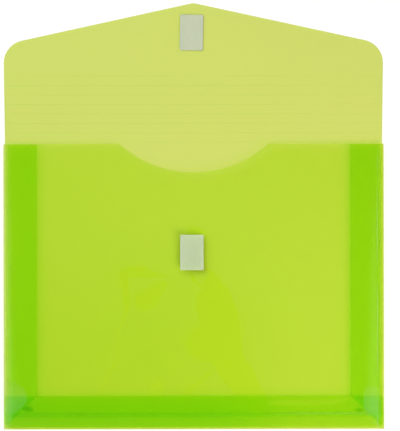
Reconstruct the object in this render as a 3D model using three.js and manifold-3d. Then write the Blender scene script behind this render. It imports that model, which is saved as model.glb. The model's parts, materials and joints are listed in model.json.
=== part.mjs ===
// A plastic expanding envelope, 13 by 9 3/4 inches, with a scored flap and a hook and loop closure.
//
// It lies on its back with the flap laid open. +Z is up, out of the front panel, +Y runs from the
// bottom edge to the flap's tip, and the origin is the middle of the back panel's underside.
// Four sheets of clear film make it. The body sheet holds the flap, the back panel and the bottom
// gusset. The front sheet holds the front panel and a hem that wraps round the bottom edge and is
// lapped on the bottom gusset. A strip folded in a V is welded in along each side. Each length of
// film between two creases turns by itself, so it is a piece of its own here.

import * as THREE from "three";
import { mergeVertices } from "three/addons/utils/BufferGeometryUtils.js";
import Module from "manifold-3d";

// Driving dimensions, in millimetres and degrees.
const bodyWidth = 330.2;
const bodyHeight = 247.65; // bottom edge to the mouth, the front panel's top edge
const filmThickness = 0.4;
const layerGap = 0.3; // air between two films that face each other beside a weld margin
const creaseGap = 0.3; // between the two panels that a crease joins
const creaseGroove = 0.12; // bevel along both faces of a flap strip's long edges

const weldMargin = 4.5; // film welded flat along both sides and along the bottom
const marginTrim = 1.7; // the panels' edges stand this far out beyond the gussets' margins
const mouthCorner = 1.1; // cut off the panels' corners beside the mouth
const gussetDepth = 28.575; // outer edge to the centre fold
const mitreGap = 0.5; // between a side gusset and the bottom gusset, along the edge
const restAngle = 4.6; // how far the springy creases hold each gusset half open

const hemWidth = 9.9; // front sheet beyond the bottom crease, up to its cut edge
const lapWidth = 4.2; // overlap of the hem and the bottom gusset, where they are welded
const lapGap = 0.3;

const notchWidth = 129.7;
const notchDepth = 24.9;

const flapHeight = 120.65; // first score to the flap's tip
const flapSlope = 12.3; // of the two top edges, from level
const flapTipRadius = 13;
const flapShoulderRadius = 20;
const scoreAboveMouth = 1.6;
const scoreCount = 8;
const scorePitch = 8.25;

const tapeWidth = 20;
const tapeLength = 31;
const tapeCornerRadius = 1.2;
const tapeOffset = -1.5; // both tapes sit a little left of the middle
const hookTapeBelowMouth = 94.3; // mouth to the middle of the front panel's tape
const loopTapeBelowTip = 25.4; // flap's tip to the middle of the flap's tape
const loopTapeLean = -1; // stuck on by hand, a degree off square
const adhesiveThickness = 0.2;
const adhesiveInset = 0.4;
const backingThickness = 0.4;

const hookHeight = 0.7; // above the backing
const hookWire = 0.3;
const hookReach = 0.75; // from the stem's back to the bent tip
const hookWidth = 0.5;
const hookPitchX = 1.9;
const hookPitchY = 2;
const hookInset = 1.4; // first stem to the backing's edge
const hookRoot = 0.1; // how deep the stem is moulded into the backing
const pileHeight = 0.7;
const pileInset = 0.9;
const pileBevel = 0.3;

// Sizes that follow.
const bottomEdge = -bodyHeight / 2;
const mouth = bodyHeight / 2;
const firstScore = mouth + scoreAboveMouth;
const flapTip = firstScore + flapHeight;
const lastScore = firstScore + (scoreCount - 1) * scorePitch;
const halfWidth = gussetDepth - weldMargin; // each gusset half, crease to centre fold
const sideLength = bodyHeight - weldMargin;
const bottomLength = bodyWidth - 2 * weldMargin;
const opening = 2 * halfWidth * Math.sin(THREE.MathUtils.degToRad(restAngle));
const backHinge = 2 * filmThickness + layerGap;
const frontHinge = backHinge + opening;
const frontUnderside = frontHinge + filmThickness + layerGap;
const frontTop = frontUnderside + filmThickness;
const creaseEnd = creaseGap / 2;

// Colours and finishes.
const film = new THREE.MeshStandardMaterial({
  color: 0xcfe36a,
  roughness: 0.32,
  metalness: 0,
  transparent: true,
  opacity: 0.55,
  side: THREE.DoubleSide,
});
const hookNylon = new THREE.MeshStandardMaterial({ color: 0xc6d3ac, roughness: 0.6, metalness: 0 });
const loopNylon = new THREE.MeshStandardMaterial({ color: 0xcbd6b2, roughness: 0.9, metalness: 0 });
const adhesive = new THREE.MeshStandardMaterial({ color: 0xdbe2c4, roughness: 0.4, metalness: 0 });

const wasm = await Module();
wasm.setup();

// A closed geometry as a manifold-3d solid, so that pieces can be joined.
function toSolid(geometry) {
  const bare = geometry.clone();
  bare.deleteAttribute("normal");
  bare.deleteAttribute("uv");
  const merged = mergeVertices(bare, 1e-4);
  return new wasm.Manifold(
    new wasm.Mesh({
      numProp: 3,
      vertProperties: merged.attributes.position.array,
      triVerts: new Uint32Array(merged.index.array),
    }),
  );
}

// A manifold-3d solid back as a geometry.
function toGeometry(solid) {
  const mesh = solid.getMesh();
  const geometry = new THREE.BufferGeometry();
  geometry.setAttribute("position", new THREE.BufferAttribute(mesh.vertProperties, 3));
  geometry.setIndex(new THREE.BufferAttribute(mesh.triVerts, 1));
  geometry.computeVertexNormals();
  return geometry;
}

function joined(geometries) {
  return toGeometry(wasm.Manifold.union(geometries.map(toSolid)));
}

// A closed outline through corners [x, y, radius], with each radius as a true arc. An arc takes up
// to mostOfEdge of the shorter edge beside it.
function roundedOutline(corners) {
  const mostOfEdge = 0.95;
  const shape = new THREE.Shape();
  corners.forEach(([x, y, wanted], i) => {
    const corner = new THREE.Vector2(x, y);
    const [px, py] = corners[(i + corners.length - 1) % corners.length];
    const [nx, ny] = corners[(i + 1) % corners.length];
    const back = new THREE.Vector2(px, py).sub(corner);
    const ahead = new THREE.Vector2(nx, ny).sub(corner);
    if (!wanted) {
      if (i) shape.lineTo(x, y);
      else shape.moveTo(x, y);
      return;
    }
    const room = mostOfEdge * Math.min(back.length(), ahead.length());
    back.normalize();
    ahead.normalize();
    const half = Math.acos(back.dot(ahead)) / 2;
    const radius = Math.min(wanted, room * Math.tan(half));
    const reach = radius / Math.tan(half);
    const start = corner.clone().addScaledVector(back, reach);
    const end = corner.clone().addScaledVector(ahead, reach);
    const middle = back.clone().add(ahead).normalize();
    const centre = corner.clone().addScaledVector(middle, radius / Math.sin(half));
    const from = start.clone().sub(centre).angle();
    const to = end.clone().sub(centre).angle();
    const clockwise = back.cross(ahead) > 0;
    if (i) shape.lineTo(start.x, start.y);
    else shape.moveTo(start.x, start.y);
    shape.absarc(centre.x, centre.y, radius, from, to, clockwise);
  });
  shape.closePath();
  return shape;
}

function polygon(points) {
  return new THREE.Shape(points.map(([x, y]) => new THREE.Vector2(x, y)));
}

// A flat sheet of the given outline, standing on z = 0.
function sheet(outline, thickness = filmThickness, curveSegments = 16) {
  return new THREE.ExtrudeGeometry(outline, { depth: thickness, bevelEnabled: false, curveSegments });
}

function piece(name, geometry, material, z = 0) {
  const mesh = new THREE.Mesh(geometry, material);
  mesh.name = name;
  mesh.position.z = z;
  return mesh;
}

const envelope = new THREE.Group();

// The body sheet's back panel runs a little past the mouth, up to the first score. Its corners at
// the mouth are cut off, so the flap's root is a little narrower than the body.
function backPanel() {
  const top = firstScore - creaseEnd;
  const root = bodyWidth / 2 - mouthCorner;
  return polygon([
    [-bodyWidth / 2, bottomEdge],
    [bodyWidth / 2, bottomEdge],
    [bodyWidth / 2, mouth - mouthCorner],
    [root, mouth],
    [root, top],
    [-root, top],
    [-root, mouth],
    [-bodyWidth / 2, mouth - mouthCorner],
  ]);
}
envelope.add(piece("back_panel", sheet(backPanel()), film));

// The front panel, with the thumb notch as one shallow arc in its top edge.
function frontPanel() {
  const radius = (notchWidth ** 2 / 4 + notchDepth ** 2) / (2 * notchDepth);
  const centre = mouth + radius - notchDepth;
  const right = Math.atan2(mouth - centre, notchWidth / 2);
  const shape = new THREE.Shape();
  shape.moveTo(-bodyWidth / 2, bottomEdge);
  shape.lineTo(bodyWidth / 2, bottomEdge);
  shape.lineTo(bodyWidth / 2, mouth - mouthCorner);
  shape.lineTo(bodyWidth / 2 - mouthCorner, mouth);
  shape.lineTo(notchWidth / 2, mouth);
  shape.absarc(0, centre, radius, right, Math.PI - right, true);
  shape.lineTo(mouthCorner - bodyWidth / 2, mouth);
  shape.lineTo(-bodyWidth / 2, mouth - mouthCorner);
  shape.closePath();
  return shape;
}
envelope.add(piece("front_panel", sheet(frontPanel(), filmThickness, 40), film, frontUnderside));

// The three gussets are alike. Each has an edge frame: x runs inwards from the weld crease to the
// centre fold, and y along the crease. Both halves are cut at 45 degrees where two gussets meet.
function gussetHalf(from, to, length, mitreStart, mitreEnd) {
  const start = (x) => (mitreStart ? x + mitreGap : 0);
  const end = (x) => (mitreEnd ? length - x - mitreGap : length);
  return polygon([
    [from, start(from)],
    [to, start(to)],
    [to, end(to)],
    [from, end(from)],
  ]);
}

function margin(start, end) {
  const outer = marginTrim - weldMargin;
  return polygon([
    [outer, start],
    [-creaseEnd, start],
    [-creaseEnd, end],
    [outer, end],
  ]);
}

// The back half lies under its hinge plane and the front half over its own, so that the V can
// shut flat. Both planes meet in the centre fold.
function gusset({ side, x, y, turn, length, mitreStart, mitreEnd, marginStart, marginEnd }) {
  const edge = new THREE.Group();
  edge.position.set(x, y, 0);
  edge.rotation.z = THREE.MathUtils.degToRad(turn);

  const angle = THREE.MathUtils.degToRad(restAngle);
  const back = new THREE.Group();
  back.position.z = backHinge;
  back.rotation.y = -angle;
  const front = new THREE.Group();
  front.position.z = frontHinge;
  front.rotation.y = angle;
  edge.add(back, front);

  const outline = gussetHalf(creaseEnd, halfWidth - creaseEnd, length, mitreStart, mitreEnd);
  back.add(piece(side + "_gusset_back", sheet(outline), film, -filmThickness));
  if (side === "bottom") front.add(...lappedFront(length));
  else front.add(piece(side + "_gusset_front", sheet(outline), film));

  const flange = sheet(margin(marginStart, marginEnd));
  edge.add(piece(side + "_margin_back", flange, film, filmThickness));
  edge.add(piece(side + "_margin_front", flange, film, frontUnderside - filmThickness));
  return edge;
}

// The bottom gusset's front half is two sheets. The hem of the front sheet comes round the bottom
// crease, and the body sheet's edge is lapped under it with a joggle and welded.
function lappedFront(length) {
  const hem = gussetHalf(creaseEnd, hemWidth, length, true, true);
  const lapStart = hemWidth - lapWidth;
  const joggle = hemWidth + lapGap;
  const drop = filmThickness + lapGap;
  const rise = joggle + drop;
  const fold = halfWidth - creaseEnd;
  const section = [
    [lapStart, -drop],
    [joggle + filmThickness / 2, -drop],
    [rise + filmThickness / 2, 0],
    [fold, 0],
    [fold, filmThickness],
    [rise, filmThickness],
    [joggle, filmThickness - drop],
    [lapStart, filmThickness - drop],
  ];
  // The section is swept along the edge, and each of its corners stops at the mitre.
  const swept = new THREE.ExtrudeGeometry(polygon(section), { depth: 1, bevelEnabled: false });
  const place = swept.attributes.position;
  for (let i = 0; i < place.count; i++) {
    const x = place.getX(i);
    const z = place.getY(i);
    const reach = length / 2 - x - mitreGap;
    place.setXYZ(i, x, length / 2 + (1 - 2 * place.getZ(i)) * reach, z);
  }
  swept.deleteAttribute("normal");
  return [piece("front_hem", sheet(hem), film), piece("bottom_gusset_front", swept, film)];
}

const sideCrease = bodyWidth / 2 - weldMargin;
const bottomCrease = bottomEdge + weldMargin;
envelope.add(
  gusset({
    side: "left",
    x: -sideCrease,
    y: bottomCrease,
    turn: 0,
    length: sideLength,
    mitreStart: true,
    mitreEnd: false,
    marginStart: marginTrim - weldMargin,
    marginEnd: sideLength - mouthCorner,
  }),
  gusset({
    side: "right",
    x: sideCrease,
    y: mouth,
    turn: 180,
    length: sideLength,
    mitreStart: false,
    mitreEnd: true,
    marginStart: mouthCorner,
    marginEnd: sideLength + weldMargin - marginTrim,
  }),
  gusset({
    side: "bottom",
    x: sideCrease,
    y: bottomCrease,
    turn: 90,
    length: bottomLength,
    mitreStart: true,
    mitreEnd: true,
    marginStart: creaseGap,
    marginEnd: bottomLength - creaseGap,
  }),
);

// The flap's half width at a height: it widens from the root to the body's full width where the
// shoulder's arc starts.
const slope = Math.tan(THREE.MathUtils.degToRad(flapSlope));
const tipHalf = THREE.MathUtils.degToRad(90 - flapSlope);
const tipCorner = flapTip + flapTipRadius / Math.sin(tipHalf) - flapTipRadius;
const shoulderCorner = tipCorner - (bodyWidth / 2) * slope;
function flapHalfWidth(y) {
  const share = Math.min(1, (y - firstScore) / (shoulderCorner - firstScore));
  return bodyWidth / 2 - mouthCorner * (1 - share);
}

// A strip between two scores, with the pressed groove as a bevel along its long edges.
function flapStrip(low, high) {
  const section = [
    [low + creaseGroove, 0],
    [high - creaseGroove, 0],
    [high, creaseGroove],
    [high, filmThickness - creaseGroove],
    [high - creaseGroove, filmThickness],
    [low + creaseGroove, filmThickness],
    [low, filmThickness - creaseGroove],
    [low, creaseGroove],
  ];
  const strip = new THREE.ExtrudeGeometry(polygon(section), { depth: 1, bevelEnabled: false });
  const place = strip.attributes.position;
  for (let i = 0; i < place.count; i++) {
    const y = place.getX(i);
    const z = place.getY(i);
    place.setXYZ(i, (2 * place.getZ(i) - 1) * flapHalfWidth(y), y, z);
  }
  strip.deleteAttribute("normal");
  return strip;
}
for (let i = 1; i < scoreCount; i++) {
  const low = firstScore + (i - 1) * scorePitch + creaseEnd;
  const high = firstScore + i * scorePitch - creaseEnd;
  envelope.add(piece("flap_strip_" + i, flapStrip(low, high), film));
}

// The flap beyond the last score, with round shoulders and a blunt tip.
function flapEnd() {
  const low = lastScore + creaseEnd;
  const root = flapHalfWidth(low);
  const shoulder = flapHalfWidth(shoulderCorner);
  return roundedOutline([
    [-root, low, 0],
    [root, low, 0],
    [shoulder, shoulderCorner, flapShoulderRadius],
    [0, tipCorner, flapTipRadius],
    [-shoulder, shoulderCorner, flapShoulderRadius],
  ]);
}
envelope.add(piece("flap_tip", sheet(flapEnd()), film));

// Hook and loop tapes.
function tapeOutline(inset) {
  const x = tapeWidth / 2 - inset;
  const y = tapeLength / 2 - inset;
  const radius = tapeCornerRadius;
  return roundedOutline([
    [-x, -y, radius],
    [x, -y, radius],
    [x, y, radius],
    [-x, y, radius],
  ]);
}

// One moulded hook: a stem that bends over and comes part of the way back down.
function hook(x, y, lean) {
  const arm = hookWire * 0.8;
  const outline = polygon([
    [0, -hookRoot],
    [hookWire, -hookRoot],
    [hookWire, hookHeight - arm],
    [hookReach - arm, hookHeight - arm],
    [hookReach - arm, hookHeight / 2],
    [hookReach, hookHeight / 2],
    [hookReach, hookHeight - arm / 2],
    [hookReach - arm / 2, hookHeight],
    [arm / 2, hookHeight],
    [0, hookHeight - arm / 2],
  ]);
  const geometry = new THREE.ExtrudeGeometry(outline, { depth: hookWidth, bevelEnabled: false });
  geometry.translate(-hookWire / 2, 0, -hookWidth / 2);
  geometry.rotateX(Math.PI / 2);
  geometry.rotateZ(lean);
  geometry.translate(x, y, backingThickness);
  return geometry;
}

// Rows of hooks on a backing. Every other row faces the other way.
function hookTape() {
  const parts = [sheet(tapeOutline(0), backingThickness, 4)];
  const spanX = tapeWidth - 2 * hookInset;
  const spanY = tapeLength - 2 * hookInset;
  const columns = Math.floor(spanX / hookPitchX) + 1;
  const rows = Math.floor(spanY / hookPitchY) + 1;
  for (let row = 0; row < rows; row++)
    for (let column = 0; column < columns; column++) {
      const x = (column - (columns - 1) / 2) * hookPitchX;
      const y = (row - (rows - 1) / 2) * hookPitchY;
      parts.push(hook(x, y, row % 2 ? Math.PI : 0));
    }
  return joined(parts);
}

// The looped pile as one crowned pad on its backing.
function loopTape() {
  const backing = sheet(tapeOutline(0), backingThickness, 4);
  const pile = new THREE.ExtrudeGeometry(tapeOutline(pileInset + pileBevel), {
    depth: pileHeight - pileBevel,
    bevelThickness: pileBevel,
    bevelSize: pileBevel,
    bevelSegments: 3,
    curveSegments: 4,
  });
  pile.translate(0, 0, backingThickness);
  return joined([backing, pile]);
}

// A tape on its adhesive, stood on the film.
function tape(name, geometry, material, y, z, lean) {
  const group = new THREE.Group();
  group.position.set(tapeOffset, y, z);
  group.rotation.z = THREE.MathUtils.degToRad(lean);
  group.add(piece(name + "_adhesive", sheet(tapeOutline(adhesiveInset), adhesiveThickness, 4), adhesive));
  group.add(piece(name + "_tape", geometry, material, adhesiveThickness));
  return group;
}
envelope.add(
  tape("hook", hookTape(), hookNylon, mouth - hookTapeBelowMouth, frontTop, 0),
  tape("loop", loopTape(), loopNylon, flapTip - loopTapeBelowTip, filmThickness, loopTapeLean),
);

export default envelope;
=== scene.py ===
# %% [markdown]
# # A clear plastic expanding envelope
#
# The envelope is four sheets of thin, tinted film, welded at the edges, with a pair of hook and loop tapes. It
# lies on its back on a white table with its flap open. The film has almost no colour of its own in the air:
# what is seen is the table through one, two, four or six films, so the colours here come mostly from counting
# the layers correctly and from giving one film the right tint. Some shade, sheen and highlights are also
# painted into the films' tints and haze.

# %% Frame
import json
import math
import random

import bmesh
import bpy
from mathutils import Matrix, Vector, noise


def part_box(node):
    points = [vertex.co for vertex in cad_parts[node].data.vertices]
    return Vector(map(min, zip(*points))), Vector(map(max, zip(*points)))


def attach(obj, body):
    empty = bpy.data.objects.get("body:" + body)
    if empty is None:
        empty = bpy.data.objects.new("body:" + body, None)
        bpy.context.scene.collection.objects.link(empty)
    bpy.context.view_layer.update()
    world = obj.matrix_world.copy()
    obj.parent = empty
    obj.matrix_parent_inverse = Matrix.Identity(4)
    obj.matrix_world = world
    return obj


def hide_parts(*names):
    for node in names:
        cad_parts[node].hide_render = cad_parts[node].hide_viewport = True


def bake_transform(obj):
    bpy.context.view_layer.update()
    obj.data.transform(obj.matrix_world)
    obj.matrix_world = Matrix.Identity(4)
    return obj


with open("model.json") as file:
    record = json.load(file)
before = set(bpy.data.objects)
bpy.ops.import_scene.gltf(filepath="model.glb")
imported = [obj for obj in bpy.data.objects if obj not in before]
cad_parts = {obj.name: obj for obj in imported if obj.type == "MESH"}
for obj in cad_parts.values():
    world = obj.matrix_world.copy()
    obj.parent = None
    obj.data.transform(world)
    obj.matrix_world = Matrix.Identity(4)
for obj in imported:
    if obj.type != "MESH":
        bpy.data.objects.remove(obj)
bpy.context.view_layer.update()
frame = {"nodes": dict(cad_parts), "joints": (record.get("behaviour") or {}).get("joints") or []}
MM = 0.001

# %% [markdown]
# The sizes of the sheets are read back from the frame, so that each film here lies where its
# solid does. The gussets' hinge lines come from the joints: a gusset half runs from its weld
# crease up to the centre fold, and its slope at rest is the angle between those two lines.

# %% Sizes from the frame
joints = {j["name"]: j for j in frame["joints"]}


def hinge_point(name):
    return Vector(joints[name]["pos_m"])


back_low, back_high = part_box("back_panel")
front_low, front_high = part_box("front_panel")
FILM = back_high.z - back_low.z
LEFT, RIGHT = front_low.x, front_high.x
BOTTOM, MOUTH = front_low.y, front_high.y
FRONT_UNDER, FRONT_TOP = front_low.z, front_high.z
CREASE = hinge_point("expand")
FOLD = hinge_point("bottom_fold")
FRONT_CREASE = hinge_point("front_crease")
HALF = (FOLD - CREASE).length
REST_ANGLE = math.atan2(FOLD.z - CREASE.z, FOLD.y - CREASE.y)
MARGIN = CREASE.y - BOTTOM
SCORES = [hinge_point(f"score_{k}").y for k in range(1, 9)]
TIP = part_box("flap_tip")[1].y
print("film %.2f mm, gusset half %.2f mm, rest angle %.1f degrees"
      % (FILM / MM, HALF / MM, math.degrees(REST_ANGLE)))

# %% [markdown]
# ## Camera
#
# The photograph looks straight down on the envelope from far away, so there is almost no
# perspective. One long lens does that. The frame's middle is found from where the body's left
# edge, right edge and bottom edge lie in the picture.

# %% Camera
PICTURE = (400, 431)
BODY_LEFT_PX, BODY_RIGHT_PX, BOTTOM_PX = 3.32, 383.82, 429.15
PX_PER_M = (BODY_RIGHT_PX - BODY_LEFT_PX) / (RIGHT - LEFT)
CAMERA_HEIGHT = 3.0
ROLL = math.radians(-0.1)
centre_x = (PICTURE[0] - BODY_LEFT_PX - BODY_RIGHT_PX) / 2 / PX_PER_M
centre_y = BOTTOM + (BOTTOM_PX - PICTURE[1] / 2) / PX_PER_M
camera_data = bpy.data.cameras.new("camera")
camera_data.sensor_width = 36
camera_data.lens = 36 * CAMERA_HEIGHT / (PICTURE[1] / PX_PER_M)
camera_data.clip_end = 20
camera = bpy.data.objects.new("camera", camera_data)
camera.location = (centre_x, centre_y, CAMERA_HEIGHT + FRONT_TOP)
camera.rotation_euler = (0, 0, ROLL)
bpy.context.scene.collection.objects.link(camera)
bpy.context.scene.camera = camera
print("lens %.0f mm, %.3f px per mm" % (camera_data.lens, PX_PER_M * MM))


# %% [markdown]
# ## Shader maths
#
# Masks and tints read better as formulas than as a web of nodes. `Socket` wraps a shader socket,
# so that `1 - mask * 0.5` adds the Math nodes for it. Colours are mixed by `mix`, and any other
# node is made by `Nodes.make`.

# %% Shader kit
class Socket:
    def __init__(self, nodes, out):
        self.nodes = nodes
        self.out = out

    def maths(self, operation, *others, swap=False):
        values = [self, *others]
        if swap:
            values.reverse()
        return self.nodes.make("ShaderNodeMath", {"operation": operation}, dict(enumerate(values)))

    def __add__(self, other):
        return self.maths("ADD", other)

    __radd__ = __add__

    def __mul__(self, other):
        return self.maths("MULTIPLY", other)

    __rmul__ = __mul__

    def __sub__(self, other):
        return self.maths("SUBTRACT", other)

    def __rsub__(self, other):
        return self.maths("SUBTRACT", other, swap=True)

    def __truediv__(self, other):
        return self.maths("DIVIDE", other)

    def __pow__(self, other):
        return self.maths("POWER", other)

    def __lt__(self, other):
        return self.maths("LESS_THAN", other)

    def __gt__(self, other):
        return self.maths("GREATER_THAN", other)

    def __abs__(self):
        return self.maths("ABSOLUTE")

    def within(self, low, high):
        return self.nodes.make("ShaderNodeClamp", None, {"Value": self, "Min": low, "Max": high})

    def step(self, low, high):
        """0 below low, 1 above high, and smooth between."""
        return self.nodes.make(
            "ShaderNodeMapRange",
            {"interpolation_type": "SMOOTHSTEP"},
            {"Value": self, "From Min": low, "From Max": high},
        )


class Nodes:
    def __init__(self, tree):
        self.tree = tree
        tree.nodes.clear()

    def make(self, kind, settings=None, inputs=None, output=0):
        node = self.tree.nodes.new(kind)
        for name, value in (settings or {}).items():
            if name == "stops":
                ramp = node.color_ramp
                while len(ramp.elements) < len(value):
                    ramp.elements.new(1.0)
                for element, (place, colour) in zip(ramp.elements, value):
                    element.position = place
                    element.color = colour
            else:
                setattr(node, name, value)
        for name, value in (inputs or {}).items():
            if isinstance(value, Socket):
                self.tree.links.new(value.out, node.inputs[name])
            else:
                node.inputs[name].default_value = value
        return Socket(self, node.outputs[output])

    def maths(self, operation, *values):
        return self.make("ShaderNodeMath", {"operation": operation}, dict(enumerate(values)))

    def vector(self, operation, a, b=None, scale=None, output=0):
        inputs = {0: a}
        if b is not None:
            inputs[1] = b
        if scale is not None:
            inputs["Scale"] = scale
        return self.make("ShaderNodeVectorMath", {"operation": operation}, inputs, output)

    def mix(self, factor, a, b, blend="MIX"):
        settings = {"data_type": "RGBA", "blend_type": blend}
        return self.make("ShaderNodeMix", settings, {0: factor, 6: a, 7: b}, output=2)

    def shader_mix(self, factor, a, b):
        return self.make("ShaderNodeMixShader", None, {0: factor, 1: a, 2: b})

    def place(self):
        """The point on the piece in metres, in the row frame, and its three numbers."""
        point = self.make("ShaderNodeTexCoord", None, None, output=3)
        split = self.tree.nodes.new("ShaderNodeSeparateXYZ")
        self.tree.links.new(point.out, split.inputs[0])
        return point, *(Socket(self, split.outputs[i]) for i in range(3))

    def noise(self, point, size, detail=2.0, stretch=(1, 1, 1), **inputs):
        """Noise with features about size metres across."""
        scaled = self.vector("MULTIPLY", point, tuple(s / size for s in stretch))
        return self.make(
            "ShaderNodeTexNoise", None, {"Vector": scaled, "Scale": 1.0, "Detail": detail, **inputs}
        )

    def field(self, name):
        """A number that is stored at every corner of the mesh."""
        return self.make("ShaderNodeAttribute", {"attribute_name": name}, None, output=2)

    def finish(self, surface):
        output = self.tree.nodes.new("ShaderNodeOutputMaterial")
        self.tree.links.new(surface.out, output.inputs["Surface"])


def material(name):
    made = bpy.data.materials.new(name)
    made.use_nodes = True
    return made, Nodes(made.node_tree)


# %% [markdown]
# ## Table, lamps and world
#
# A copy stand has a lamp on either side and darkness over the camera, so flat film sends no glare
# up to the lens. The world is dim overhead and brighter near the horizon for the same reason, and
# so that low views still see something mirrored in the film.
#
# The bare table is exposed to plain white, and no brighter, or the film's edges would look jagged.
# Seen through film it is the lit paper itself, a little below white, which is what sets the film's
# colour. Light Path's transparent depth tells the two apart: it is 0 for a camera ray that has met
# no film yet.

# %% Table
TABLE_UNDER_FILM = (0.90, 0.80, 0.74, 1)
TABLE_BARE = (0.36, 0.36, 0.36, 1)
TABLE_GLOW = 0.72


def table_material():
    made, n = material("white_table")
    path = n.tree.nodes.new("ShaderNodeLightPath")
    from_camera = Socket(n, path.outputs["Is Camera Ray"])
    films_met = Socket(n, path.outputs["Transparent Depth"])
    bare = from_camera * (films_met < 0.5)
    colour = n.mix(bare, TABLE_UNDER_FILM, TABLE_BARE)
    paper = n.make("ShaderNodeBsdfDiffuse", None, {"Color": colour})
    glow = n.make("ShaderNodeEmission", None, {"Color": (1, 1, 1, 1), "Strength": bare * TABLE_GLOW})
    n.finish(n.make("ShaderNodeAddShader", None, {0: paper, 1: glow}))
    return made


TABLE_HALF = 6.0
table_mesh = bpy.data.meshes.new("table")
corners = [(-1, -1), (1, -1), (1, 1), (-1, 1)]
table_mesh.from_pydata([(x * TABLE_HALF, y * TABLE_HALF, -0.0002) for x, y in corners], [], [(0, 1, 2, 3)])
table = bpy.data.objects.new("table", table_mesh)
table.data.materials.append(table_material())
bpy.context.scene.collection.objects.link(table)

# %% Lamps and world
LAMPS = {
    "left_lamp": dict(place=(-0.75, 0.5, 1.1), size=(0.6, 0.9), power=6.8, colour=(0.78, 0.98, 0.90)),
    "right_lamp": dict(place=(0.4, -0.33, 0.6), size=(0.4, 0.4), power=2.75, colour=(1.0, 0.86, 0.82)),
    "top_lamp": dict(place=(-0.1, 0.95, 1.15), size=(1.2, 0.5), power=5.65, colour=(1.0, 0.86, 0.77)),
    "left_card": dict(place=(-0.47, -0.2, 1.6), size=(0.56, 0.2), power=2.2, colour=(1.0, 0.98, 0.9)),
    "right_card": dict(place=(0.47, -0.17, 1.6), size=(0.45, 0.2), power=1.25, colour=(1.0, 0.96, 0.8)),
    "near_card": dict(place=(0.0, -0.42, 1.6), size=(0.9, 0.22), power=0.4, colour=(1.0, 0.98, 0.9)),
}


def add_lamp(name, place, size, power, colour):
    data = bpy.data.lights.new(name, "AREA")
    data.shape = "RECTANGLE"
    data.size, data.size_y = size
    data.energy = power
    data.color = colour
    lamp = bpy.data.objects.new(name, data)
    lamp.location = place
    lamp.rotation_euler = (-Vector(place)).to_track_quat("-Z", "Y").to_euler()
    bpy.context.scene.collection.objects.link(lamp)


for name, settings in LAMPS.items():
    add_lamp(name, **settings)

world = bpy.data.worlds.new("studio")
world.use_nodes = True
bpy.context.scene.world = world
sky = Nodes(world.node_tree)
direction = sky.make("ShaderNodeTexCoord", None, None, output=0)
split = sky.tree.nodes.new("ShaderNodeSeparateXYZ")
sky.tree.links.new(direction.out, split.inputs[0])
height = Socket(sky, split.outputs[2])
brightness = 0.55 - height.step(0.1, 0.85) * 0.48
background = sky.make("ShaderNodeBackground", None, {"Color": (1, 1, 1, 1), "Strength": brightness})
world_out = sky.tree.nodes.new("ShaderNodeOutputWorld")
sky.tree.links.new(background.out, world_out.inputs["Surface"])

scene = bpy.context.scene
scene.view_settings.view_transform = "Standard"
scene.cycles.transparent_max_bounces = 64
scene.cycles.max_bounces = 16
scene.cycles.diffuse_bounces = 3
print("lamps", len(LAMPS))

# %% [markdown]
# ## Film
#
# A real film tints light by how much plastic it crosses. Here every face tints it a little, so a
# film's two faces make one layer, and two layers square the tint as they should. A Transparent
# shader does this without bending the light, which a film this thin hardly does, and it lets the
# lamps reach the table. A share of gloss that grows at low angles gives the shine, and a trace of
# haze gives the film a body. The tint varies a little with the die lines and mottling of
# extruded film.
#
# The Fresnel node isn't used for the gloss. Inside a face it works for light that is leaving glass,
# and makes slanting light mirror back in full. A flat film never does that, since the light came
# in at the same slant. Schlick's formula on the Facing value is the same from both sides.

# %% Film material
FACE_TINT = (0.930, 0.990, 0.688)
PALE, DEEP = 0.5, 1.5
HAZE_COLOUR = (0.55, 0.72, 0.14, 1)
MILKY = (0.75, 0.85, 0.45, 1)
# The front film's haze colour, which also carries its painted sheen and highlights.
HAZE_AND_SHEEN_COLOUR = (0.84, 0.80, 0.80, 1)
HEM_LINE = -0.1103
HAZE = 0.004
GLOSS = 0.0043
AT_LOW_ANGLES = 140


def tint(strength):
    """The tint of a face of film that is so many times as deep as the plain one."""
    return tuple(c**strength for c in FACE_TINT) + (1,)


def clear_shader(n, colour):
    return n.make("ShaderNodeBsdfTransparent", None, {"Color": colour})


def film_depth(n, depth):
    """Clear film, PALE times as deep as the plain one where depth is 0, and DEEP times where 1."""
    return n.shader_mix(depth, clear_shader(n, tint(PALE)), clear_shader(n, tint(DEEP)))


def film_shader(n, clear, haze=HAZE, haze_colour=HAZE_COLOUR, bump=None, gloss=GLOSS):
    """Clear film with a share of haze in it, and a share of shine on it that is gloss seen
    straight on and grows as Schlick's formula says."""
    gloss_inputs = {"Color": (1, 1, 1, 1), "Roughness": 0.12}
    body_inputs = {"Base Color": haze_colour, "Roughness": 0.35}
    if bump is not None:
        gloss_inputs["Normal"] = bump
        body_inputs["Normal"] = bump
    body = n.make("ShaderNodeBsdfPrincipled", None, body_inputs)
    shine = n.make("ShaderNodeBsdfAnisotropic", None, gloss_inputs)
    facing = n.make("ShaderNodeLayerWeight", None, {"Blend": 0.5}, output=1)
    share = (facing**5 * AT_LOW_ANGLES + 1) * gloss
    return n.shader_mix(share, n.shader_mix(haze, clear, body), shine)


def mottle(n, point):
    """A depth about the plain film's: die lines along the sheet, fine mottle and a slow drift."""
    streaks = n.noise(point, 0.004, 2.0, (1, 0.03, 1))
    fine = n.noise(point, 0.0016, 3.0)
    broad = n.noise(point, 0.12, 1.0)
    return (streaks - 0.5) * 0.04 + (fine - 0.5) * 0.08 + (broad - 0.5) * 0.06 + 0.5


def film_bump(n, point):
    grain = n.noise(point, 0.0022, 2.0)
    return n.make("ShaderNodeBump", None, {"Strength": 0.08, "Distance": 0.0002, "Height": grain})


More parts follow.
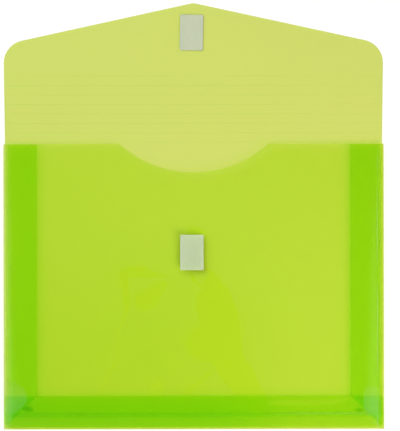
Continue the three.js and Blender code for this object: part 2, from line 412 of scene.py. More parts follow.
def film_material(name, **finish):
    made, n = material(name)
    point, x, y, z = n.place()
    n.finish(film_shader(n, film_depth(n, mottle(n, point)), bump=film_bump(n, point), **finish))
    return made


FILM_PLAIN = film_material("film")
FILM_GUSSET = film_material("film_gusset", haze=0.0015, gloss=0.0015)


def bottom_material():
    """Gusset film, deeper toward the left, most beside the hem's edge: a painted shade. It is paler in the
    right half of the weld: a painted sheen."""
    made, n = material("film_bottom")
    point, x, y, z = n.place()
    beside_hem = y.step(HEM_LINE, HEM_LINE + 0.001) * (1 - y.step(HEM_LINE + 0.003, FOLD.y))
    # Painted shade toward the left.
    deeper = (1 - x.step(0.02, 0.10)) * (beside_hem * 0.15 + 0.2)
    # Painted sheen in the right half of the weld.
    paler = x.step(0.02, 0.10) * (1 - y.step(HEM_LINE - 0.004, HEM_LINE)) * 0.28
    clear = film_depth(n, mottle(n, point) + deeper - paler)
    n.finish(film_shader(n, clear, haze=0.0015, gloss=0.0015))
    return made


FILM_BOTTOM = bottom_material()
print("film tint for one face", FACE_TINT)

# %% [markdown]
# Where the front and back sheets cling to each other, the air between them is gone. Two mirror
# faces go with it, and the colour there looks cleaner and deeper. Such patches have soft, rounded
# outlines: a few pools joined by thin necks. Each is drawn as a chain of round spots, with the
# width changing evenly from one to the next, and slow noise makes the outline wander. How far
# each point of the sheet is from the patches is worked out here and stored on the mesh, where
# the material reads it: that renders much faster than the same sums in shader nodes.

# %% Clinging patches
CLING_TINT = (0.920, 0.990, 0.56, 1)
CLINGS = {
    "big_pool": [
        (14, 11.5, 1), (15.5, 0, 9.5), (18.6, -11.7, 15.4), (21.5, -24, 17.3), (24.5, -47, 17.5),
        (32, -69, 13), (52, -98, 11.5),
    ],
    "side_pool": [(7, -50, 14.5), (20, -47, 17)],
    "leaf": [(-44.5, -13.5, 6.8), (-36, -7.5, 7.4), (-28, -0.5, 4.6), (-21.5, 4.5, 0.6)],
    "upper_arm": [(-58.5, 11.5, 4.4), (-46, 12, 4), (-37, 9.5, 2.6), (-27, 9, 1), (-19.5, 11.5, 0.4)],
    "long_tail": [
        (-58.5, 11.5, 4.4), (-58.5, -12, 3.4), (-61, -23, 1.5), (-62.5, -36, 0.8), (-65.5, -58, 0.8),
        (-70.5, -71.5, 1.2), (-79, -85.5, 0.8), (-82, -99, 1.2),
    ],
    "low_streak": [(15.5, -73, 0.6), (7.5, -82, 2.6), (-4, -91.5, 4), (-16, -100, 1.6)],
    "low_loop": [(-37.5, -98, 1.9), (-36.5, -89, 2), (-33, -83.5, 2.2), (-29.5, -88, 1.5), (-29, -98, 1.3)],
    "under_tape": [(-1.5, 10.5, 1), (-1.5, 5.5, 1.7), (6.5, -1, 0.5)],
    "over_tape": [(0.2, 44.9, 7.6), (2.8, 44.9, 7.6)],
}


def neck_distance(x, y, start, end):
    """How far (x, y) is outside the round-ended shape that runs from one spot to the next."""
    run_x, run_y = end[0] - start[0], end[1] - start[1]
    along = ((x - start[0]) * run_x + (y - start[1]) * run_y) / (run_x**2 + run_y**2)
    along = min(1, max(0, along))
    radius = start[2] + (end[2] - start[2]) * along
    return math.hypot(x - start[0] - run_x * along, y - start[1] - run_y * along) - radius


def chain_distance(x, y, chains):
    """How far a point, in metres, is outside chains of spots. It is below 0 inside them."""
    x, y = x / MM, y / MM
    pairs = (pair for spots in chains for pair in zip(spots, spots[1:]))
    return min(neck_distance(x, y, start, end) for start, end in pairs) * MM


def cling_distance(x, y):
    """The same for the clinging patches, with wandering outlines."""
    shift = noise.noise_vector(Vector((x, y, 0)) * 60) * 0.0035
    return chain_distance(x + shift.x, y + shift.y, CLINGS.values())


print("clinging patches", len(CLINGS))

# %% [markdown]
# The front sheet also shows its welds: a pale line of milky haze along each side weld's crease, stronger on
# the right, and one along the cut edge of the hem under it, on the right. These pale lines are painted
# highlights. Beside each gusset's fold it lies close over the bulky fold, and a soft painted shade runs along
# there. At the inner corners, where the film is tucked, two small dark spots of painted shade deepen the tint.
# At the two bottom corners and along its left edge, a painted sheen of milky haze stands for a reflection of
# the lamps, with a clear outline at the corners, and the left edge is also painted paler, as if lit from the
# side. Toward the lower left a painted shade makes the film a little deeper. All of these are masks on one
# material, since they are one film.

# %% Front film material
def stripe(value, centre, half, soft):
    """1 within half of the centre line, and 0 beyond, with soft edges."""
    return 1 - abs(value - centre).step(half - soft, half + soft)


SEAM_LINE = 0.1594
KNURL = (0.1602, 0.1632)
# The painted shade beside the gussets' folds: how far in it reaches, and its tint.
FOLD_SHADE = 8 * MM
FOLD_SHADE_TINT = (0.80, 0.965, 0.48, 1)
SIDE_FOLD = hinge_point("right_fold").x


def fold_shade(x, y):
    """The painted fold shade: 1 at a fold, fading out over a few millimetres toward the sheet's middle."""
    right = 1 - ((SIDE_FOLD - x) / FOLD_SHADE).within(0, 1)
    left = 1 - ((x + SIDE_FOLD) / (1.4 * FOLD_SHADE)).within(0, 1)
    low = 1 - ((y - FOLD.y) / FOLD_SHADE).within(0, 1)
    inside = (abs(x) < SIDE_FOLD + 0.3 * MM) * (y > FOLD.y - 0.3 * MM)
    return (right * right * 0.85 + left * left * 0.6 + low * low * 0.5) * inside


YELLOW_STREAK = [(66, -101.1, 1.5), (80, -100.9, 2.6), (122, -100.6, 2.4), (136, -97, 0.8)]
# Two small spots of painted shade at the inner corners, where the film is tucked, and their tint.
CORNER_SHADE_SPOTS = [((-144.0, -106.2), (5.6, 3.2)), ((143.5, -107.4), (5.2, 2.2))]
CORNER_SHADE_TINT = (0.71, 0.91, 0.36, 1)
FRONT_HAZE = 0.001
# How far in from the left edge its painted light reaches.
LEFT_FADE = 0.009


def streak_distance(x, y):
    return chain_distance(x, y, [YELLOW_STREAK])


def oval_distance(x, y, centre, reach, power=2.0):
    """How far a point is outside a rounded shape. A high power makes it nearly a rectangle."""
    across = abs(x / MM - centre[0]) / reach[0]
    along = abs(y / MM - centre[1]) / reach[1]
    return ((across**power + along**power) ** (1 / power) - 1) * min(reach) * MM


# The outlines of the painted sheen at the two bottom corners.
def sheen_corner_distance(x, y):
    left = oval_distance(x, y, (-166.5, -95.9), (21.7, 14.8))
    right = oval_distance(x, y, (154.0, -98.5), (6.7, 11.3), 4.0)
    return min(left, right)


FRONT_FIELDS = {
    "cling": cling_distance,
    "streak": streak_distance,
    "corner": sheen_corner_distance,
}


def painted_sheen_and_highlights(n, point, x, y, left_edge_light):
    """The share of milky haze that paints sheen at the corners and left edge, and weld highlights."""
    patchy = n.noise(point, 0.05, 1.0, (0.2, 1, 1)).step(0.35, 0.6)
    # Painted highlights: a pale line along each side weld's crease, stronger on the right, and one along the
    # hem's edge on the right.
    seam = stripe(abs(x), SEAM_LINE, 0.35 * MM, 0.1 * MM) * patchy * (x.step(0, 0.02) * 0.7 + 0.3)
    hem = stripe(y, HEM_LINE, 0.3 * MM, 0.15 * MM) * x.step(0.06, 0.10) * (abs(x) < 0.160)
    # Painted sheen at the two bottom corners, stronger toward the bottom edge.
    corner = 1 - n.field("corner").step(-0.7 * MM, 0.4 * MM)
    downward = 0.75 - (y + 0.0985) * 20
    return seam * 0.09 + hem * 0.05 + left_edge_light**3 * 0.035 + corner * downward * 0.035


def front_film_material():
    made, n = material("film_front")
    point, x, y, z = n.place()
    # Painted light along the left edge: 1 at the edge, falling to 0 a few millimetres in.
    left_edge_light = 1 - ((x - LEFT) / LEFT_FADE).within(0, 1)
    cling = 1 - n.field("cling").step(-0.55 * MM, 0.55 * MM)
    streak = 1 - n.field("streak").step(-0.9 * MM, 0.9 * MM)
    # Painted shade: the two dark spots at the inner corners.
    left_corner_shade, right_corner_shade = (
        1 - oval_distance(x, y, *place).step(-2.0 * MM, 0.4 * MM) for place in CORNER_SHADE_SPOTS
    )
    # Painted shade: the film is made a little deeper toward the lower left.
    painted_lower_left_shade = (1 - x.step(-0.04, 0.11)) * (1 - y.step(-0.07, 0.07))
    clear = film_depth(n, mottle(n, point) + painted_lower_left_shade * 0.3)
    clear = n.shader_mix(cling, clear, clear_shader(n, CLING_TINT))
    clear = n.shader_mix(fold_shade(x, y), clear, clear_shader(n, FOLD_SHADE_TINT))
    clear = n.shader_mix(left_corner_shade + right_corner_shade, clear, clear_shader(n, CORNER_SHADE_TINT))
    # The yellow streak, and the painted light along the left edge, make the film paler here.
    thin = n.maths("MAXIMUM", streak, left_edge_light * 0.75)
    clear = n.shader_mix(thin, clear, clear_shader(n, tint(0.1)))
    # The film's own haze, plus the painted sheen and highlights.
    haze = painted_sheen_and_highlights(n, point, x, y, left_edge_light) + FRONT_HAZE
    n.finish(film_shader(n, clear, haze, HAZE_AND_SHEEN_COLOUR, film_bump(n, point)))
    return made


def weld_material():
    """Film that the knurled bar has pressed: a touch milky."""
    made, n = material("film_weld")
    point, x, y, z = n.place()
    cloud = n.noise(point, 0.006, 2.0)
    n.finish(film_shader(n, clear_shader(n, tint(0.35)), cloud * 0.05, MILKY))
    return made


def fold_material():
    """Film at a centre fold: thin, stretched and almost without gloss."""
    made, n = material("film_fold")
    n.finish(film_shader(n, clear_shader(n, tint(0.5)), gloss=0.001))
    return made


def edge_material():
    """A cut edge: it is no thicker than the film, so it hardly tints what crosses it."""
    made, n = material("film_edge")
    n.finish(film_shader(n, clear_shader(n, tint(0.1)), haze=0.002, gloss=0.001))
    return made


SCORE_HALF = 0.8 * MM
GROOVE_SHADE_TINT = (0.87, 0.970, 0.66, 1)


def score_material():
    """Pressed film: a painted shade a little deeper in the groove, and a little paler beside it."""
    made, n = material("film_score")
    point, x, y, z = n.place()
    pitch = SCORES[1] - SCORES[0]
    across = n.maths("WRAP", y - (SCORES[0] - SCORE_HALF), pitch, 0.0)
    # Painted shade in the middle of each score's groove.
    groove = stripe(across, SCORE_HALF - 0.1 * MM, 0.25 * MM, 0.1 * MM)
    beside = stripe(across, SCORE_HALF + 0.45 * MM, 0.20 * MM, 0.1 * MM)
    every_other = n.maths("WRAP", y - (SCORES[0] - SCORE_HALF), 2 * pitch, 0.0) < pitch
    strength = n.noise(point, 0.09, 1.0, (1, 8, 1)).step(0.25, 0.75) * 0.4 + every_other * 0.1 + 0.35
    clear = n.shader_mix(groove * strength, clear_shader(n, tint(1.0)), clear_shader(n, GROOVE_SHADE_TINT))
    clear = n.shader_mix(beside * strength, clear, clear_shader(n, tint(0.9)))
    n.finish(film_shader(n, clear))
    return made


FILM_FRONT = front_film_material()
FILM_WELD = weld_material()
FILM_FOLD = fold_material()
FILM_EDGE = edge_material()
FILM_SCORE = score_material()
print("face and groove tints", FACE_TINT, GROOVE_SHADE_TINT[:3])

# %% [markdown]
# ## Sheets
#
# A flat sheet is cut from its outline, crossed by cut lines so that it can bend, lifted into its
# gentle waves, and given its thickness. Cutting a flat face with planes keeps curved edges exact
# and needs no remeshing. Its cut edges have a clearer material than its faces: slanting light
# would otherwise be tinted twice there, and leave a dark line along every edge.

# %% Sheet builder
def new_object(name, mesh, material_used=None):
    made = bpy.data.objects.new(name, mesh)
    made.data.materials.append(material_used or FILM_PLAIN)
    bpy.context.scene.collection.objects.link(made)
    return made


def closed_mesh(name, work, sharp=40):
    """The bmesh as a mesh with its faces turned out, smooth except at its sharp edges."""
    bmesh.ops.recalc_face_normals(work, faces=work.faces[:])
    mesh = bpy.data.meshes.new(name)
    work.to_mesh(mesh)
    work.free()
    for polygon in mesh.polygons:
        polygon.use_smooth = True
    mesh.set_sharp_from_angle(angle=math.radians(sharp))
    return mesh


def cut_sheet(outline, x_cuts, y_cuts):
    """A flat bmesh of the outline, cut along the given lines."""
    sheet = bmesh.new()
    sheet.faces.new([sheet.verts.new((x, y, 0)) for x, y in outline])
    for axis, cuts in ((0, x_cuts), (1, y_cuts)):
        for cut in cuts:
            point = Vector((0, 0, 0))
            normal = Vector((0, 0, 0))
            point[axis] = cut
            normal[axis] = 1
            everything = sheet.verts[:] + sheet.edges[:] + sheet.faces[:]
            bmesh.ops.bisect_plane(sheet, geom=everything, plane_co=point, plane_no=normal)
    return sheet


def thicken(sheet, lift, thickness=FILM):
    """Makes a flat bmesh a closed sheet, with its underside at the height lift(x, y)."""
    rim = [e for e in sheet.edges if e.is_boundary]
    tops = sheet.faces[:]
    lower = {}
    for v in sheet.verts[:]:
        height = lift(v.co.x, v.co.y)
        lower[v] = sheet.verts.new((v.co.x, v.co.y, height))
        v.co.z = height + thickness
    for face in tops:
        sheet.faces.new([lower[v] for v in reversed(face.verts)])
    for edge in rim:
        loop = edge.link_loops[0]
        a, b = loop.vert, loop.link_loop_next.vert
        sheet.faces.new([b, a, lower[a], lower[b]])


def clear_edges(film):
    """Gives the upright faces round a film, its cut edges, the edge material."""
    film.data.materials.append(FILM_EDGE)
    for face in film.data.polygons:
        if abs(face.normal.z) < 0.5:
            face.material_index = len(film.data.materials) - 1


def sheet_object(name, outline, x_cuts, y_cuts, lift, material_used=None):
    sheet = cut_sheet(outline, x_cuts, y_cuts)
    thicken(sheet, lift)
    film = new_object(name, closed_mesh(name, sheet), material_used)
    clear_edges(film)
    return film


def spaced(low, high, step):
    count = max(1, round((high - low) / step))
    return [low + (high - low) * i / count for i in range(1, count)]


def level(z):
    return lambda x, y: z


def smooth(share):
    share = min(1, max(0, share))
    return share * share * (3 - 2 * share)


# %% Back sheet
root_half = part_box("flap_strip_1")[1].x - 0.02 * MM
corner = 1.1 * MM
back_outline = [
    (LEFT, BOTTOM),
    (RIGHT, BOTTOM),
    (RIGHT, MOUTH - corner),
    (RIGHT - 0.3 * corner, MOUTH - 0.3 * corner),
    (root_half, MOUTH),
    (root_half, SCORES[0] - SCORE_HALF),
    (-root_half, SCORES[0] - SCORE_HALF),
    (-root_half, MOUTH),
    (LEFT + 0.3 * corner, MOUTH - 0.3 * corner),
    (LEFT, MOUTH - corner),
]
back_sheet = sheet_object(
    "back_sheet", back_outline, spaced(LEFT, RIGHT, 0.02), spaced(BOTTOM, MOUTH, 0.02), level(0)
)
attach(back_sheet, "back")
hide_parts("back_panel")

# %% [markdown]
# The front sheet is held up by the springy gussets. From its welded edges it swells up, settles
# again toward the middle, and waves a little. On the right its weld is a flat band, and the swell
# starts inside it. The slopes are only a few degrees, but they turn the dark mirror image of the
# ceiling into that of a lamp, so the edges look pale.

# %% Front sheet
NOTCH_WIDTH = 0.1297
NOTCH_DEPTH = 0.0249
SWELL = 0.60 * MM
SWELL_REACH = 0.014
RIGHT_WELD = RIGHT - SEAM_LINE
notch_radius = (NOTCH_WIDTH**2 / 4 + NOTCH_DEPTH**2) / (2 * NOTCH_DEPTH)
notch_centre = MOUTH + notch_radius - NOTCH_DEPTH


def notch_arc(steps=64):
    half = math.asin(NOTCH_WIDTH / 2 / notch_radius)
    for i in range(steps + 1):
        angle = half * (1 - 2 * i / steps)
        yield notch_radius * math.sin(angle), notch_centre - notch_radius * math.cos(angle)


def front_lift(x, y):
    inside = max(0, min(x - LEFT, RIGHT - RIGHT_WELD - x, y - BOTTOM))
    share = min(1, inside / SWELL_REACH)
    settle = min(1, max(0, (inside - SWELL_REACH) / 0.08))
    swell = SWELL * (1 - (1 - share) ** 2) * (1 - 0.8 * settle * settle * (3 - 2 * settle))
    wave = math.sin(x * 19 + 0.6) * math.cos(y * 14 + 0.3) + 0.5 * math.sin(x * 31 - y * 23)
    return FRONT_UNDER + swell + 0.1 * MM * wave * min(1, inside / 0.05)


front_outline = [
    (LEFT, BOTTOM),
    (RIGHT, BOTTOM),
    (RIGHT, MOUTH - corner),
    (RIGHT - 0.3 * corner, MOUTH - 0.3 * corner),
    (RIGHT - corner, MOUTH),
    *notch_arc(),
    (LEFT + corner, MOUTH),
    (LEFT + 0.3 * corner, MOUTH - 0.3 * corner),
    (LEFT, MOUTH - corner),
]
edge_cuts = [i * 0.002 for i in range(1, 12)]
CLING_AREA = ((-0.088, -0.103), (0.078, 0.056))
fine_x = spaced(CLING_AREA[0][0], CLING_AREA[1][0], 0.0011)
fine_y = spaced(CLING_AREA[0][1], CLING_AREA[1][1], 0.0011)
coarse_x = spaced(LEFT + 0.022, CLING_AREA[0][0], 0.008) + spaced(CLING_AREA[1][0], RIGHT - 0.026, 0.006)
front_sheet = sheet_object(
    "front_sheet",
    front_outline,
    [LEFT + d for d in edge_cuts] + [RIGHT - RIGHT_WELD + 0.002 - d for d in edge_cuts] + fine_x + coarse_x,
    spaced(BOTTOM, CLING_AREA[0][1], 0.0015) + fine_y + spaced(CLING_AREA[1][1], MOUTH, 0.008),
    front_lift,
    FILM_FRONT,
)
for name, distance in FRONT_FIELDS.items():
    field = front_sheet.data.attributes.new(name, "FLOAT", "POINT")
    known = {}
    for vertex, item in zip(front_sheet.data.vertices, field.data):
        at = (vertex.co.x, vertex.co.y)
        if at not in known:
            known[at] = distance(*at)
        item.value = known[at]
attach(front_sheet, "front")
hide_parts("front_panel")
print("front sheet", len(front_sheet.data.polygons), "faces")

# %% [markdown]
# ## Gussets
#
# A gusset strip is one film: a margin welded to a panel, a crease, and a sloping half that runs in to the
# centre fold. Its cross-section is drawn as a path of points, (inward, up), and swept along the edge of the
# body. The creases bend as the envelope opens, so margin, crease and half are one mesh.
#
# The side strips are cut at 45 degrees, from the body's corners to the inner corners of the
# folds. The bottom gusset runs on behind them, which is why the corners show a darker triangle
# above the diagonal.

# %% Swept films
TRIM = 1.7 * MM
CREASE_HALF = 0.8 * MM
HAIR = 0.02 * MM
SIDE_X = hinge_point("right_crease").x
TAN = math.tan(REST_ANGLE)
SPLIT = FILM / 2 * math.cos(REST_ANGLE)
EDGES = {
    "left": lambda inward, along, up: (inward - SIDE_X, along, up),
    "right": lambda inward, along, up: (SIDE_X - inward, along, up),
    "bottom": lambda inward, along, up: (along, CREASE.y + inward, up),
}


def row_inward(edge, point):
    """How far inside an edge's weld crease a point of the row frame is."""
    return point.y - CREASE.y if edge == "bottom" else SIDE_X - abs(point.x)


def swept_film(name, edge, path, span, rows, thickness=FILM):
    """A film whose middle follows path, (inward, up) points, swept along an edge of the body.
    span(inward) gives where it starts and ends along the edge. Along the two sides its margin is pressed film."""
    row_point = EDGES[edge]
    work = bmesh.new()
    rings = []
    for i, (inward, up) in enumerate(path):
        before, after = path[max(0, i - 1)], path[min(len(path) - 1, i + 1)]
        slope = Vector((after[0] - before[0], after[1] - before[1])).normalized()
        offset = Vector((-slope.y, slope.x)) * thickness / 2
        start, end = span(inward)
        pair = []
        for side in (-1, 1):
            pair.append([
                work.verts.new(row_point(
                    inward + side * offset.x, start + (end - start) * j / rows, up + side * offset.y
                ))
                for j in range(rows + 1)
            ])
        rings.append(pair)
    for (under_a, top_a), (under_b, top_b) in zip(rings, rings[1:]):
        for line_a, line_b in ((under_a, under_b), (top_a, top_b)):
            for j in range(rows):
                work.faces.new([line_a[j], line_b[j], line_b[j + 1], line_a[j + 1]])
        for j in (0, rows):
            work.faces.new([under_a[j], under_b[j], top_b[j], top_a[j]])
    for under, top in (rings[0], rings[-1]):
        for j in range(rows):
            work.faces.new([under[j], under[j + 1], top[j + 1], top[j]])
    film = new_object(name, closed_mesh(name, work, 60), FILM_BOTTOM if edge == "bottom" else FILM_GUSSET)
    film.data.materials.append(FILM_WELD)
    for face in film.data.polygons:
        inward = [row_inward(edge, film.data.vertices[i].co) for i in face.vertices]
        if edge != "bottom" and max(inward) < -CREASE_HALF + HAIR:
            face.material_index = 1
    clear_edges(film)
    return film


def half_path(layer, start, end, drop=0.0, steps=6):
    """The middle of a gusset half from start to end, measured inward from its crease."""
    for i in range(steps + 1):
        inward = start + (end - start) * i / steps
        if layer == "back":
            yield inward, CREASE.z - SPLIT - drop + inward * TAN
        else:
            yield inward, FRONT_CREASE.z + SPLIT - drop - inward * TAN


def margin_path(layer, end=-CREASE_HALF):
    up = 1.5 * FILM + HAIR if layer == "back" else FRONT_UNDER - FILM / 2 - HAIR
    return [(-MARGIN + TRIM, up), (end, up)]


def crease_path(layer, steps=6):
    """An S from the margin to the half."""
    margin_up = margin_path(layer)[0][1]
    half_up = list(half_path(layer, CREASE_HALF, CREASE_HALF, steps=1))[0][1]
    for i in range(1, steps):
        share = i / steps
        yield -CREASE_HALF + 2 * CREASE_HALF * share, margin_up + (half_up - margin_up) * smooth(share)


SIDE_TOP = MOUTH - 0.3 * MM
FOLD_IN = HALF * math.cos(REST_ANGLE)


def side_span(inward):
    """A side strip starts on the mitre and ends at the mouth, where its corners are clipped."""
    clip = max(0, 1.2 * MM - (inward + MARGIN))
    return CREASE.y + inward, SIDE_TOP - clip


def bottom_span(inward):
    reach = RIGHT - (TRIM if inward < 0 else 0.5 * MM)
    return -reach, reach


# %% Gusset strips
def across(edge, inward, up):
    return EDGES[edge](inward, 0, up)


def blend_crease(piece, edge, layer):
    hinge_up = CREASE.z if layer == "back" else FRONT_CREASE.z
    start = across(edge, -CREASE_HALF, hinge_up)
    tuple(start)
    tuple(across(edge, CREASE_HALF, hinge_up))
    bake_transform(piece)


for edge, span, rows in (("left", side_span, 16), ("right", side_span, 16), ("bottom", bottom_span, 20)):
    path = margin_path("back") + list(crease_path("back")) + list(half_path("back", CREASE_HALF, FOLD_IN))
    strip = swept_film(f"{edge}_gusset_back_film", edge, path, span, rows)
    blend_crease(strip, edge, "back")
    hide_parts(f"{edge}_margin_back", f"{edge}_gusset_back")

for edge in ("left", "right"):
    margin = margin_path("front", -0.5 * MM) + [(-0.25 * MM, FRONT_UNDER - 0.27 * MM), (0.1 * MM, FRONT_UNDER - 0.42 * MM)]
    piece = swept_film(f"{edge}_margin_front_film", edge, margin, side_span, 16)
    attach(piece, "front")
    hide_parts(f"{edge}_margin_front")
    piece = swept_film(
        f"{edge}_gusset_front_film", edge, list(half_path("front", 0, FOLD_IN)), side_span, 16
    )
    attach(piece, f"{edge}_front")
    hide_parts(f"{edge}_gusset_front")

# %% [markdown]
# At the bottom the front sheet's hem wraps round the crease and laps on the gusset's edge, where
# a knurled bar has welded the two. The gusset film steps down by one thickness to pass under the
# hem.

# %% Hem and lap
HEM = 9.9 * MM
LAP_START = 5.8 * MM
path = margin_path("front") + list(crease_path("front")) + list(half_path("front", CREASE_HALF, HEM))
hem = swept_film("hem_film", "bottom", path, bottom_span, 20)
blend_crease(hem, "bottom", "front")
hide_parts("bottom_margin_front", "front_hem")

path = list(half_path("front", LAP_START, HEM - 0.1 * MM, drop=FILM + 2 * HAIR))
for i in range(1, 4):
    inward = HEM + 0.3 * MM * i
    path += list(half_path("front", inward, inward, drop=(FILM + 2 * HAIR) * (1 - smooth(i / 4)), steps=1))[:1]
path += list(half_path("front", HEM + 1.3 * MM, FOLD_IN))
lap = swept_film("bottom_gusset_front_film", "bottom", path, bottom_span, 20)
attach(lap, "bottom_front")
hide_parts("bottom_gusset_front")

# %% [markdown]
# Each centre fold is a half-round bead about the fold's line.

# %% Centre folds
def fold_bead(edge, steps=8):
    centre_in, centre_up = FOLD_IN, FOLD.z
    half_turn = math.pi / 2 - REST_ANGLE
    start, end = side_span(FOLD_IN) if edge != "bottom" else bottom_span(FOLD_IN)
    work = bmesh.new()
    rows = 16
    lines = []
    for radius in (0.02 * MM, FILM):
        for i in range(steps + 1):
            angle = half_turn * (2 * i / steps - 1)
            inward = centre_in + radius * math.cos(angle)
            up = centre_up + radius * math.sin(angle)
            lines.append([
                work.verts.new(EDGES[edge](inward, start + (end - start) * j / rows, up))
                for j in range(rows + 1)
            ])
    inner, outer = lines[: steps + 1], lines[steps + 1 :]
    ring = inner + outer[::-1]
    for a, b in zip(ring, ring[1:] + ring[:1]):
        for j in range(rows):
            work.faces.new([a[j], b[j], b[j + 1], a[j + 1]])
    for j in (0, rows):
        for i in range(steps):
            work.faces.new([inner[i][j], inner[i + 1][j], outer[i + 1][j], outer[i][j]])
    bead = new_object(f"{edge}_fold", closed_mesh(f"{edge}_fold", work, 60), FILM_FOLD)
    start_point = across(edge, centre_in, centre_up - FILM)
    end_point = across(edge, centre_in, centre_up + FILM)
    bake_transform(bead)
    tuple(start_point)
    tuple(end_point)


for edge in EDGES:
    fold_bead(edge)

# %% [markdown]
# ## Welds
#
# The welding bar is knurled, and leaves a row of little ribs across each weld, one a millimetre.

# %% Weld ribs
def ribs(name, places, matrix_of, length, width=0.45 * MM, height=0.03 * MM):
    """A row of low ribs with sloping flanks."""
    work = bmesh.new()
    for place in places:
        at = matrix_of(place)
        rows = []
        for w, l, up in ((width, length, -0.02 * MM), (width * 0.5, length - 0.3 * MM, height)):
            rows.append([
                work.verts.new(at(side * w / 2, end * l / 2, up))
                for side, end in ((-1, -1), (1, -1), (1, 1), (-1, 1))
            ])
        low, high = rows
        work.faces.new(low)
        work.faces.new(high)
        for i in range(4):
            j = (i + 1) % 4
            work.faces.new([low[i], low[j], high[j], high[i]])
    mesh = closed_mesh(name, work)
    return new_object(name, mesh, FILM_WELD)


PITCH = 1.0 * MM
seam_places = [CREASE.y + 6 * MM + PITCH * i for i in range(int((MOUTH - CREASE.y - 8 * MM) / PITCH))]
seam_middle = sum(KNURL) / 2
for side, name in ((-1, "left_seam_ribs"), (1, "right_seam_ribs")):
    def seam_rib(place, side=side):
        base_x = side * seam_middle
        up = front_lift(base_x, place) + FILM
        return lambda w, l, z: (base_x + l, place + w, up + z)

    seam = ribs(name, seam_places, seam_rib, KNURL[1] - KNURL[0])
    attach(seam, "front")

lap_middle = (LAP_START + HEM) / 2
lap_places = [-0.158 + PITCH * i for i in range(317)]


def lap_rib(place):
    inward, up = list(half_path("front", lap_middle, lap_middle, steps=1))[0]

    def at(w, l, z):
        return EDGES["bottom"](inward + l, place + w, up + FILM / 2 - l * TAN + z)

    return at


lap_ribs = ribs("lap_ribs", lap_places, lap_rib, HEM - LAP_START - 0.3 * MM)
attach(lap_ribs, "bottom_front")
print("ribs", len(seam_places) * 2 + len(lap_places))

# %% [markdown]
# ## Flap
#
# The flap is the same sheet as the back. Eight scores are pressed into it, so that it can fold over a thin or
# a thick filling. Each score is a strip of thinned film between two flat strips.

# %% Flap outline
strip_1_box, strip_7_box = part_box("flap_strip_1"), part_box("flap_strip_7")
widening = (strip_7_box[1].x - strip_1_box[1].x) / (strip_7_box[1].y - strip_1_box[1].y)
SHOULDER_RADIUS = 0.020
TIP_RADIUS = 0.013
SLOPE = math.radians(12.3)


def flap_half_width(y):
    return min(RIGHT, strip_1_box[1].x + widening * (y - strip_1_box[1].y))


def arc_corner(before, corner, after, radius, steps):
    """Points of a rounded corner."""
    corner = Vector(corner)
    back = (Vector(before) - corner).normalized()
    ahead = (Vector(after) - corner).normalized()
    half = back.angle(ahead) / 2
    centre = corner + (back + ahead).normalized() * radius / math.sin(half)
    start = corner + back * radius / math.tan(half) - centre
    end = corner + ahead * radius / math.tan(half) - centre
    turn = start.angle_signed(end)
    for i in range(steps + 1):
        yield tuple(centre + Matrix.Rotation(-turn * i / steps, 2) @ start)


tip_corner = (0, TIP + TIP_RADIUS / math.cos(SLOPE) - TIP_RADIUS)
shoulder_y = tip_corner[1] - RIGHT * math.tan(SLOPE)
low = SCORES[-1] + SCORE_HALF
low_half = flap_half_width(low)
right_shoulder, left_shoulder = (RIGHT, shoulder_y), (LEFT, shoulder_y)
flap_outline = [
    (-low_half, low),
    (low_half, low),
    *arc_corner((low_half, low), right_shoulder, tip_corner, SHOULDER_RADIUS, 20),
    *arc_corner(right_shoulder, tip_corner, left_shoulder, TIP_RADIUS, 8),
    *arc_corner(tip_corner, left_shoulder, (-low_half, low), SHOULDER_RADIUS, 20),
]

# %% Flap sheets
flap_end = sheet_object("flap_end", flap_outline, spaced(LEFT, RIGHT, 0.02), spaced(low, TIP, 0.012), level(0))
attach(flap_end, "flap")
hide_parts("flap_tip")
for k in range(1, 8):
    low_y, high_y = SCORES[k - 1] + SCORE_HALF, SCORES[k] - SCORE_HALF
    low_x, high_x = flap_half_width(low_y), flap_half_width(high_y)
    outline = [(-low_x, low_y), (low_x, low_y), (high_x, high_y), (-high_x, high_y)]
    strip = sheet_object(f"flap_film_{k}", outline, spaced(LEFT, RIGHT, 0.02), [], level(0))
    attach(strip, f"strip_{k}")
    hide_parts(f"flap_strip_{k}")


# %% [markdown]
# A score's cross-section is drawn as a few stations across it: film at full thickness at both
# sides, and pressed thin in the middle.

# %% Scores
def score_strip(name, y):
    stations = [-1, -0.6, -0.4, -0.2, 0, 0.2, 0.4, 0.6, 1]
    press = 0.07 * MM
    half = flap_half_width(y)
    top = [(y + s * SCORE_HALF, FILM - press * smooth(1 - abs(s) / 0.6)) for s in stations]
    under = [(y + s * SCORE_HALF, 0.0) for s in reversed(stations)]
    ring = top + under
    work = bmesh.new()
    ends = [[work.verts.new((side, *point)) for point in ring] for side in (-half, half)]
    for i in range(len(ring)):
        j = (i + 1) % len(ring)
        work.faces.new([ends[0][i], ends[0][j], ends[1][j], ends[1][i]])
    for end in ends:
        work.faces.new(end)
    strip = new_object(name, closed_mesh(name, work), FILM_SCORE)
    clear_edges(strip)
    y - 0.6 * SCORE_HALF
    y + 0.6 * SCORE_HALF
    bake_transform(strip)


for k, y in enumerate(SCORES):
    score_strip(f"score_line_{k + 1}", y)

# %% [markdown]
# ## Tapes
#
# The fastener is a pair of pale nylon tapes. The tape on the body carries moulded hooks in
# staggered rows, and the one on the flap a pile of fine loops. Both have a plain selvedge along
# their long edges, and a film of adhesive under them.

# %% Tape materials
TAPE_WIDTH = 20 * MM
NYLON = (0.92, 1.0, 0.78, 1)
NYLON_SHADED = (0.76, 0.96, 0.60, 1)
NYLON_WOVEN = (0.94, 0.95, 0.86, 1)
NYLON_WOVEN_SHADED = (0.84, 0.92, 0.74, 1)
NYLON_BORDER = (0.66, 0.70, 0.62, 1)


